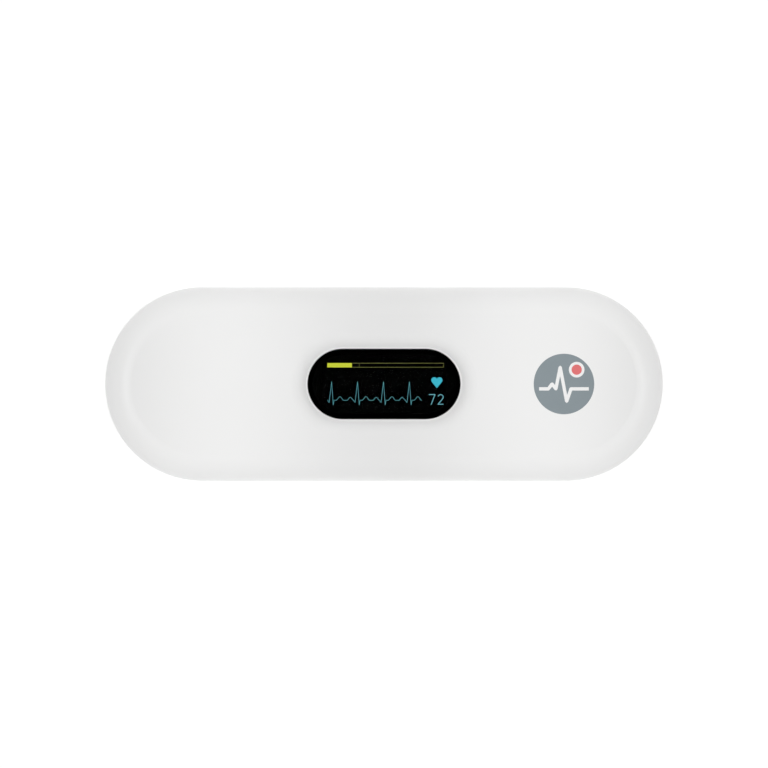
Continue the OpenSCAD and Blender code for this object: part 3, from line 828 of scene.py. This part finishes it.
def show(name, outlines, material):
    """A lit shape on the display, under the window."""
    return plate(name, outlines, (0, 0, glow_z), glow_thickness, material, "casing",
                 "display_glass")


show("bar_frame", [
    [(bar_filled_to, bar_low), (bar_right, bar_low), (bar_right, bar_high),
     (bar_filled_to, bar_high)],
    [(bar_tick_x + bar_line, bar_low + bar_line),
     (bar_right - bar_line, bar_low + bar_line),
     (bar_right - bar_line, bar_high - bar_line),
     (bar_tick_x + bar_line, bar_high - bar_line)],
    [(bar_filled_to + bar_line / 2, bar_low + bar_line),
     (bar_tick_x, bar_low + bar_line),
     (bar_tick_x, bar_high - bar_line),
     (bar_filled_to + bar_line / 2, bar_high - bar_line)],
], dim_yellow_pixels)
show("bar_fill", [[
    (bar_left, bar_low), (bar_filled_to, bar_low),
    (bar_filled_to, bar_high), (bar_left, bar_high),
]], yellow_pixels)

# %% [markdown]
# ## The heart's trace
# An ECG trace repeats one beat: a low round wave, a small dip, the tall spike, a deeper
# dip, and a second round wave. One beat is written as a few corners, each with its
# distance from the spike and its height, and whether the line swings into it softly. A
# loop repeats the beat and a soft stretch gets points in between along a cosine.

# %% Trace
beat_pitch = 4.81
first_spike_x = -9.72
beats = 4
trace_y = -3.02
trace_start, trace_end = -10.51, 7.25
trace_line = 0.075
# Distance from the spike, height, and whether the line swings softly up to here
beat_corners = [
    (-1.97, 0.0, False), (-1.37, 0.56, True), (-0.72, 0.02, True), (-0.45, -0.42, False),
    (0.0, 3.42, False), (0.32, -0.86, False), (0.46, 0.0, False), (0.83, 0.0, False),
    (1.56, 0.68, True), (2.29, -0.02, True), (2.70, 0.0, False),
]
soft_steps = 8

beat = [beat_corners[0][:2]]
for (x0, y0, _), (x1, y1, soft) in zip(beat_corners, beat_corners[1:]):
    steps = soft_steps if soft else 1
    for i in range(1, steps + 1):
        part = i / steps
        swing = (1 - math.cos(math.pi * part)) / 2
        beat.append((x0 + (x1 - x0) * part, y0 + (y1 - y0) * swing))
trace = [
    (first_spike_x + beat_pitch * n + x, trace_y + y)
    for n in range(beats) for x, y in beat
]
trace = [p for p in trace if trace_start < p[0] < trace_end]
trace = [(trace_start, trace_y)] + trace
show("ecg_trace", [ribbon(trace, trace_line)], thin_blue_pixels)

# %% [markdown]
# ## The heart symbol and the pulse
# The symbol is two round lobes and a point. Each side is an arc of one lobe that ends
# where a straight line from the point just touches it, so the outline has no kink
# there. The pulse is a plain number under it, drawn in even lines.

# %% Heart symbol and pulse number
heart_x = 9.80
heart_low, heart_high = -0.76, 1.26
heart_w = 2.06
lobe_r = 0.55

lobe_x = heart_w / 2 - lobe_r
lobe_y = heart_high - lobe_r
notch_deg = math.degrees(math.acos(-lobe_x / lobe_r))
point_deg = math.degrees(math.atan2(heart_low - lobe_y, -lobe_x))
touch_deg = point_deg + math.degrees(
    math.acos(lobe_r / math.hypot(lobe_x, lobe_y - heart_low)))
right_side = arc(lobe_x, lobe_y, lobe_r, notch_deg, touch_deg)
left_side = [(-x, y) for x, y in right_side[::-1]]
show("heart_symbol", [moved(right_side + [(0, heart_low)] + left_side[:-1], heart_x, 0)],
     blue_pixels)

digit_low, digit_high = -3.82, -1.90
digit_line = 0.13
seven_left, seven_right, seven_foot_x = 8.32, 9.44, 8.74
two_w = 1.08
two_x = 10.50
# Where the bow of the two starts and ends, in degrees round its middle
two_from_deg, two_to_deg = 165, -40

line_low, line_high = digit_low + digit_line / 2, digit_high - digit_line / 2
seven = [(seven_left, line_high), (seven_right, line_high), (seven_foot_x, digit_low)]
two_r = (two_w - digit_line) / 2
two = arc(two_x, line_high - two_r, two_r, two_from_deg, two_to_deg, 12)
two += [(two_x - two_r, line_low), (two_x + two_w / 2, line_low)]
show("pulse_seven", [ribbon(seven, digit_line)], pale_blue_pixels)
show("pulse_two", [ribbon(two, digit_line)], pale_blue_pixels)

# %% [markdown]
# ## The printed mark
# A mark is pad-printed on the right half of the top face: a soft silicone pad carries
# the ink over. The layer is a hundredth of a millimetre thick, matt, and even. Here it
# is a plain round badge in slate grey with one beat of a trace left open in it, so
# that the white casing shows through, and a coral dot in an opening of its own.

# %% Printed mark
mark_x, mark_y = 33.3, 0.0
mark_r = 5.6
dot_at = (2.35, 2.65)
dot_r = 0.95
dot_gap_r = 1.45
mark_line = 0.62
mark_points = [
    (-4.6, -0.9), (-2.9, -0.9), (-2.2, 0.0), (-1.5, -0.9), (-0.7, 3.1), (0.5, -3.2),
    (1.3, -0.9), (4.6, -0.9),
]

pad_ink_slate = surface(
    "pad_ink_slate", "#818C91", "#7D888D", drift_mm=2,
    roughness=0.48, rough_drift=0.04, grain_mm=0.2, grain_um=0.8, IOR=1.5)
pad_ink_coral = surface(
    "pad_ink_coral", "#DB6C6D", "#D66768", drift_mm=1.5,
    roughness=0.46, rough_drift=0.04, grain_mm=0.2, grain_um=0.8, IOR=1.5)
mark_at = (mark_x * MM, mark_y * MM, casing_high.z - 0.2 * ink_thickness)
plate("printed_badge", [
    arc(0, 0, mark_r, 0, 356.25, 95),
    ribbon(mark_points, mark_line),
    arc(*dot_at, dot_gap_r, 0, 352.5, 47),
], mark_at, 1.2 * ink_thickness, pad_ink_slate, "casing", "white_casing")
plate("printed_dot", [arc(*dot_at, dot_r, 0, 352.5, 47)],
      mark_at, 1.2 * ink_thickness, pad_ink_coral, "casing", "white_casing")

# %% [markdown]
# ## The symbol on the key
# The key carries the usual sign for on and off, a ring that is open at the top with a
# bar in the gap. It is pad-printed in grey on the cap's face, which looks along +Y, so
# across runs towards -X and up towards +Z. It rides on the key and moves with it.

# %% Key symbol
symbol_r = 0.85
symbol_line = 0.22
symbol_gap_deg = 40
symbol_bar = (0.15, 1.15)

pad_ink_grey = surface(
    "pad_ink_grey", "#6F777B", "#6A7276", drift_mm=1,
    roughness=0.45, rough_drift=0.04, grain_mm=0.2, grain_um=0.8, IOR=1.5)
key_at = (0, key_high.y - 0.2 * ink_thickness, (key_low.z + key_high.z) / 2)
key_facing = {"across": (-1, 0, 0), "up": (0, 0, 1)}
ring = arc(0, 0, symbol_r, 90 + symbol_gap_deg, 450 - symbol_gap_deg, 40)
bar = [(0, symbol_bar[0]), (0, symbol_bar[1])]
for name, points in (("key_ring", ring), ("key_bar", bar)):
    plate(name, [ribbon(points, symbol_line)], key_at, 1.2 * ink_thickness,
          pad_ink_grey, "key", "white_key", **key_facing)

# %% [markdown]
# ## Finish
# The picture keeps Blender's plain Standard view, so a colour renders as it is written.

# %% Finish
scene.view_settings.view_transform = "Standard"
